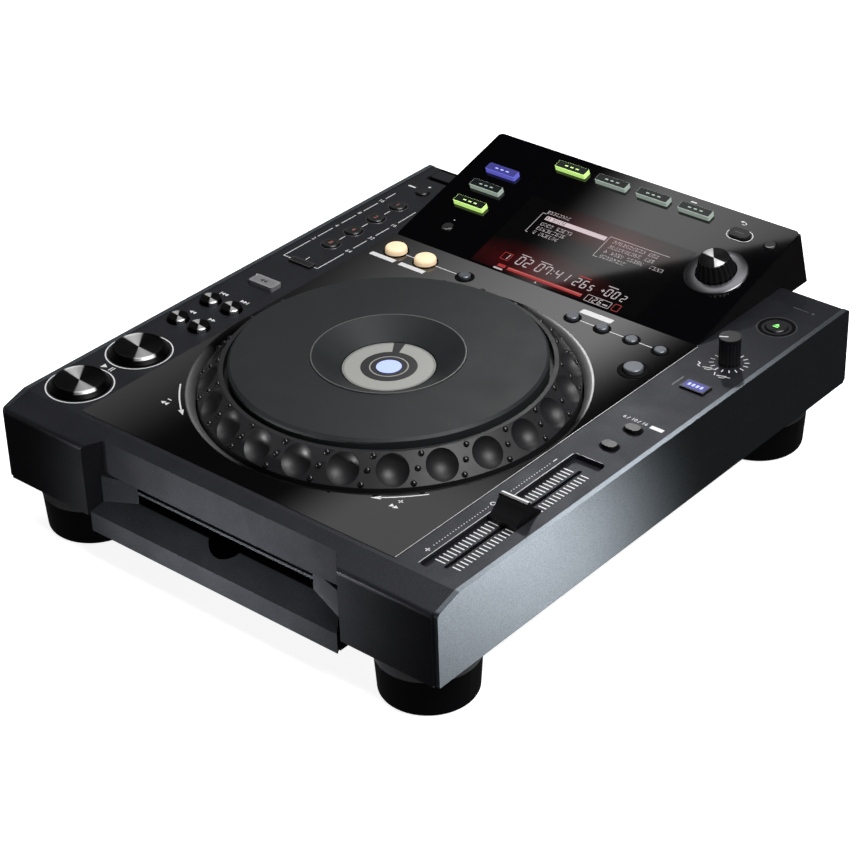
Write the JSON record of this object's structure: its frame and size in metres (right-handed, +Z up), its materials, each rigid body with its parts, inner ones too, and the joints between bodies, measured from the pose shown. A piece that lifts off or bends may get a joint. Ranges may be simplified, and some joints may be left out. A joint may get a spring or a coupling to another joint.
{
  "type": "tabletop disc player",
  "caption": "Slot-loading tabletop disc player with a large turning jog wheel, tilted display, press keys and a tempo slider, on round feet.",
  "frame": {"origin": "centre of the overall footprint, on the surface that the feet stand on", "axes": "+X to the player's right as its user sees it, -Y to the front with the disc slot, +Z up"},
  "size_m": [0.305, 0.3844, 0.1068],
  "materials": {
    "shell": "dark charcoal, satin paint",
    "side": "dark blue-grey metallic paint",
    "plate": "gloss black",
    "fascia": "dark grey, satin",
    "pan": "black painted sheet steel",
    "foot": "black, glossy rings",
    "housing": "black, satin",
    "cover": "gloss black window",
    "rear": "black, matt",
    "screw": "black-plated steel",
    "board": "green resin boards",
    "post": "turned",
    "jog_screen": "lit window",
    "wheel": "gloss black with finger dimples",
    "top_plate": "dark green-grey with a bright rim",
    "metal_key": "spun metal look",
    "key_black": "black",
    "key_grey": "grey",
    "key_silver": "silver grey",
    "key_lit": "lit warm orange-white",
    "key_blue": "lit blue",
    "key_clear": "clear rim, lit",
    "knob": "black, ribbed",
    "selector": "black grip with a bright face",
    "frame": "pressed sheet steel",
    "roller": "dark rubber on a steel shaft",
    "turntable": "black",
    "sled": "dark grey"
  },
  "bodies": {
    "chassis": {"deck_shell": "shell", "side_panels": "side", "centre_plate": "plate", "slot_fascia": "fascia", "base_pan": "pan", "rubber_feet": "foot", "display_housing": "housing", "display_cover": "cover", "rear_panel": "rear", "base_screws": "screw", "circuit_boards": "board", "jog_post": "post", "jog_display": "jog_screen", "drive_frame": "frame"},
    "play_key": {"play_key": "metal_key"},
    "cue_key": {"cue_key": "metal_key"},
    "search_back_key": {"search_back_key": "metal_key"},
    "search_forward_key": {"search_forward_key": "metal_key"},
    "track_back_key": {"track_back_key": "metal_key"},
    "track_forward_key": {"track_forward_key": "metal_key"},
    "direction_key": {"direction_key": "key_silver"},
    "beat_select_key": {"beat_select_key": "key_black"},
    "loop_key_1": {"loop_key_1": "key_black"},
    "loop_key_2": {"loop_key_2": "key_black"},
    "loop_key_3": {"loop_key_3": "key_black"},
    "loop_key_4": {"loop_key_4": "key_black"},
    "media_stop_key": {"media_stop_key": "key_black"},
    "loop_in_key": {"loop_in_key": "key_lit"},
    "loop_out_key": {"loop_out_key": "key_lit"},
    "reloop_key": {"reloop_key": "key_grey"},
    "call_back_key": {"call_back_key": "key_grey"},
    "call_forward_key": {"call_forward_key": "key_grey"},
    "delete_key": {"delete_key": "key_black"},
    "memory_key": {"memory_key": "key_black"},
    "slip_key": {"slip_key": "key_grey"},
    "eject_key": {"eject_key": "key_black"},
    "jog_mode_key": {"jog_mode_key": "key_blue"},
    "tempo_range_key": {"tempo_range_key": "key_black"},
    "tempo_lock_key": {"tempo_lock_key": "key_black"},
    "network_source_key": {"network_source_key": "key_blue"},
    "media_source_key": {"media_source_key": "key_clear"},
    "disc_source_key": {"disc_source_key": "key_clear"},
    "browse_key": {"browse_key": "key_clear"},
    "tag_list_key": {"tag_list_key": "key_clear"},
    "info_key": {"info_key": "key_clear"},
    "menu_key": {"menu_key": "key_clear"},
    "time_mode_key": {"time_mode_key": "key_black"},
    "back_key": {"back_key": "key_black"},
    "tag_track_key": {"tag_track_key": "key_black"},
    "jog_wheel": {"jog_wheel": "wheel"},
    "jog_top_plate": {"jog_top_plate": "top_plate"},
    "port_flap": {"port_flap": "shell"},
    "speed_knob": {"speed_knob": "knob"},
    "tempo_slider": {"tempo_slider": "knob"},
    "selector_shaft": {"selector_shaft": "post"},
    "rotary_selector": {"rotary_selector": "selector"},
    "power_switch": {"power_switch": "knob"},
    "feed_roller": {"feed_roller": "roller"},
    "disc_turntable": {"disc_turntable": "turntable"},
    "laser_sled": {"laser_sled": "sled"}
  },
  "joints": [
    {"name": "play_key_press", "type": "slide", "parent": "chassis", "child": "play_key", "axis": [0, 0, -1], "range_m": [0, 0.001], "stiffness_N_per_m": 800, "springref_m": -0.0005},
    {"name": "cue_key_press", "type": "slide", "parent": "chassis", "child": "cue_key", "axis": [0, 0, -1], "range_m": [0, 0.001], "stiffness_N_per_m": 800, "springref_m": -0.0005},
    {"name": "search_back_key_press", "type": "slide", "parent": "chassis", "child": "search_back_key", "axis": [0, 0, -1], "range_m": [0, 0.001], "stiffness_N_per_m": 500, "springref_m": -0.0005},
    {"name": "search_forward_key_press", "type": "slide", "parent": "chassis", "child": "search_forward_key", "axis": [0, 0, -1], "range_m": [0, 0.001], "stiffness_N_per_m": 500, "springref_m": -0.0005},
    {"name": "track_back_key_press", "type": "slide", "parent": "chassis", "child": "track_back_key", "axis": [0, 0, -1], "range_m": [0, 0.001], "stiffness_N_per_m": 500, "springref_m": -0.0005},
    {"name": "track_forward_key_press", "type": "slide", "parent": "chassis", "child": "track_forward_key", "axis": [0, 0, -1], "range_m": [0, 0.001], "stiffness_N_per_m": 500, "springref_m": -0.0005},
    {"name": "direction_key_press", "type": "slide", "parent": "chassis", "child": "direction_key", "axis": [0, 0, -1], "range_m": [0, 0.001], "stiffness_N_per_m": 500, "springref_m": -0.0005},
    {"name": "beat_select_key_press", "type": "slide", "parent": "chassis", "child": "beat_select_key", "axis": [0, 0, -1], "range_m": [0, 0.001], "stiffness_N_per_m": 500, "springref_m": -0.0005},
    {"name": "loop_key_1_press", "type": "slide", "parent": "chassis", "child": "loop_key_1", "axis": [0, 0, -1], "range_m": [0, 0.001], "stiffness_N_per_m": 500, "springref_m": -0.0005},
    {"name": "loop_key_2_press", "type": "slide", "parent": "chassis", "child": "loop_key_2", "axis": [0, 0, -1], "range_m": [0, 0.001], "stiffness_N_per_m": 500, "springref_m": -0.0005},
    {"name": "loop_key_3_press", "type": "slide", "parent": "chassis", "child": "loop_key_3", "axis": [0, 0, -1], "range_m": [0, 0.001], "stiffness_N_per_m": 500, "springref_m": -0.0005},
    {"name": "loop_key_4_press", "type": "slide", "parent": "chassis", "child": "loop_key_4", "axis": [0, 0, -1], "range_m": [0, 0.001], "stiffness_N_per_m": 500, "springref_m": -0.0005},
    {"name": "media_stop_key_press", "type": "slide", "parent": "chassis", "child": "media_stop_key", "axis": [0, 0, -1], "range_m": [0, 0.001], "stiffness_N_per_m": 500, "springref_m": -0.0005},
    {"name": "loop_in_key_press", "type": "slide", "parent": "chassis", "child": "loop_in_key", "axis": [0, 0, -1], "range_m": [0, 0.001], "stiffness_N_per_m": 500, "springref_m": -0.0005},
    {"name": "loop_out_key_press", "type": "slide", "parent": "chassis", "child": "loop_out_key", "axis": [0, 0, -1], "range_m": [0, 0.001], "stiffness_N_per_m": 500, "springref_m": -0.0005},
    {"name": "reloop_key_press", "type": "slide", "parent": "chassis", "child": "reloop_key", "axis": [0, 0, -1], "range_m": [0, 0.001], "stiffness_N_per_m": 500, "springref_m": -0.0005},
    {"name": "call_back_key_press", "type": "slide", "parent": "chassis", "child": "call_back_key", "axis": [0, 0, -1], "range_m": [0, 0.001], "stiffness_N_per_m": 500, "springref_m": -0.0005},
    {"name": "call_forward_key_press", "type": "slide", "parent": "chassis", "child": "call_forward_key", "axis": [0, 0, -1], "range_m": [0, 0.001], "stiffness_N_per_m": 500, "springref_m": -0.0005},
    {"name": "delete_key_press", "type": "slide", "parent": "chassis", "child": "delete_key", "axis": [0, 0, -1], "range_m": [0, 0.001], "stiffness_N_per_m": 500, "springref_m": -0.0005},
    {"name": "memory_key_press", "type": "slide", "parent": "chassis", "child": "memory_key", "axis": [0, 0, -1], "range_m": [0, 0.001], "stiffness_N_per_m": 500, "springref_m": -0.0005},
    {"name": "slip_key_press", "type": "slide", "parent": "chassis", "child": "slip_key", "axis": [0, 0, -1], "range_m": [0, 0.001], "stiffness_N_per_m": 500, "springref_m": -0.0005},
    {"name": "eject_key_press", "type": "slide", "parent": "chassis", "child": "eject_key", "axis": [0, 0, -1], "range_m": [0, 0.001], "stiffness_N_per_m": 500, "springref_m": -0.0005},
    {"name": "jog_mode_key_press", "type": "slide", "parent": "chassis", "child": "jog_mode_key", "axis": [0, 0, -1], "range_m": [0, 0.001], "stiffness_N_per_m": 500, "springref_m": -0.0005},
    {"name": "tempo_range_key_press", "type": "slide", "parent": "chassis", "child": "tempo_range_key", "axis": [0, 0, -1], "range_m": [0, 0.001], "stiffness_N_per_m": 500, "springref_m": -0.0005},
    {"name": "tempo_lock_key_press", "type": "slide", "parent": "chassis", "child": "tempo_lock_key", "axis": [0, 0, -1], "range_m": [0, 0.001], "stiffness_N_per_m": 500, "springref_m": -0.0005},
    {"name": "network_source_key_press", "type": "slide", "parent": "chassis", "child": "network_source_key", "axis": [0, 0.2723, -0.9622], "range_m": [0, 0.001], "stiffness_N_per_m": 500, "springref_m": -0.0005},
    {"name": "media_source_key_press", "type": "slide", "parent": "chassis", "child": "media_source_key", "axis": [0, 0.2723, -0.9622], "range_m": [0, 0.001], "stiffness_N_per_m": 500, "springref_m": -0.0005},
    {"name": "disc_source_key_press", "type": "slide", "parent": "chassis", "child": "disc_source_key", "axis": [0, 0.2723, -0.9622], "range_m": [0, 0.001], "stiffness_N_per_m": 500, "springref_m": -0.0005},
    {"name": "browse_key_press", "type": "slide", "parent": "chassis", "child": "browse_key", "axis": [0, 0.2723, -0.9622], "range_m": [0, 0.001], "stiffness_N_per_m": 500, "springref_m": -0.0005},
    {"name": "tag_list_key_press", "type": "slide", "parent": "chassis", "child": "tag_list_key", "axis": [0, 0.2723, -0.9622], "range_m": [0, 0.001], "stiffness_N_per_m": 500, "springref_m": -0.0005},
    {"name": "info_key_press", "type": "slide", "parent": "chassis", "child": "info_key", "axis": [0, 0.2723, -0.9622], "range_m": [0, 0.001], "stiffness_N_per_m": 500, "springref_m": -0.0005},
    {"name": "menu_key_press", "type": "slide", "parent": "chassis", "child": "menu_key", "axis": [0, 0.2723, -0.9622], "range_m": [0, 0.001], "stiffness_N_per_m": 500, "springref_m": -0.0005},
    {"name": "time_mode_key_press", "type": "slide", "parent": "chassis", "child": "time_mode_key", "axis": [0, 0.2723, -0.9622], "range_m": [0, 0.001], "stiffness_N_per_m": 500, "springref_m": -0.0005},
    {"name": "back_key_press", "type": "slide", "parent": "chassis", "child": "back_key", "axis": [0, 0.2723, -0.9622], "range_m": [0, 0.001], "stiffness_N_per_m": 500, "springref_m": -0.0005},
    {"name": "tag_track_key_press", "type": "slide", "parent": "chassis", "child": "tag_track_key", "axis": [0, 0.2723, -0.9622], "range_m": [0, 0.001], "stiffness_N_per_m": 500, "springref_m": -0.0005},
    {"name": "jog_wheel_turn", "type": "hinge", "parent": "chassis", "child": "jog_wheel", "pos_m": [0, -0.04914, 0.0782], "axis": [0, 0, 1], "continuous": true},
    {"name": "jog_top_plate_press", "type": "slide", "parent": "jog_wheel", "child": "jog_top_plate", "axis": [0, 0, -1], "range_m": [0, 0.0006], "stiffness_N_per_m": 8000, "springref_m": -0.001},
    {"name": "port_flap_hinge", "type": "hinge", "parent": "chassis", "child": "port_flap", "pos_m": [-0.134, 0.16236, 0.0763], "axis": [-1, 0, 0], "range_deg": [0, 90]},
    {"name": "speed_knob_turn", "type": "hinge", "parent": "chassis", "child": "speed_knob", "pos_m": [0.1326, 0.07796, 0.0782], "axis": [0, 0, 1], "range_deg": [-150, 150]},
    {"name": "tempo_slider_move", "type": "slide", "parent": "chassis", "child": "tempo_slider", "axis": [0, -1, 0], "range_m": [-0.05, 0.05]},
    {"name": "selector_press", "type": "slide", "parent": "chassis", "child": "selector_shaft", "axis": [0, 0.2723, -0.9622], "range_m": [0, 0.0008], "stiffness_N_per_m": 900, "springref_m": -0.0005},
    {"name": "selector_turn", "type": "hinge", "parent": "selector_shaft", "child": "rotary_selector", "pos_m": [0.0846, 0.1344, 0.09304], "axis": [0, -0.2723, 0.9622], "continuous": true},
    {"name": "power_switch_rock", "type": "hinge", "parent": "chassis", "child": "power_switch", "pos_m": [-0.082, 0.16066, 0.0492], "axis": [1, 0, 0], "range_deg": [0, 18.6]},
    {"name": "feed_roller_turn", "type": "hinge", "parent": "chassis", "child": "feed_roller", "pos_m": [0, -0.16474, 0.0404], "axis": [1, 0, 0], "continuous": true},
    {"name": "turntable_spin", "type": "hinge", "parent": "chassis", "child": "disc_turntable", "pos_m": [0, -0.10024, 0.0462], "axis": [0, 0, 1], "continuous": true},
    {"name": "laser_sled_move", "type": "slide", "parent": "chassis", "child": "laser_sled", "axis": [0, 1, 0], "range_m": [0, 0.034]}
  ]
}
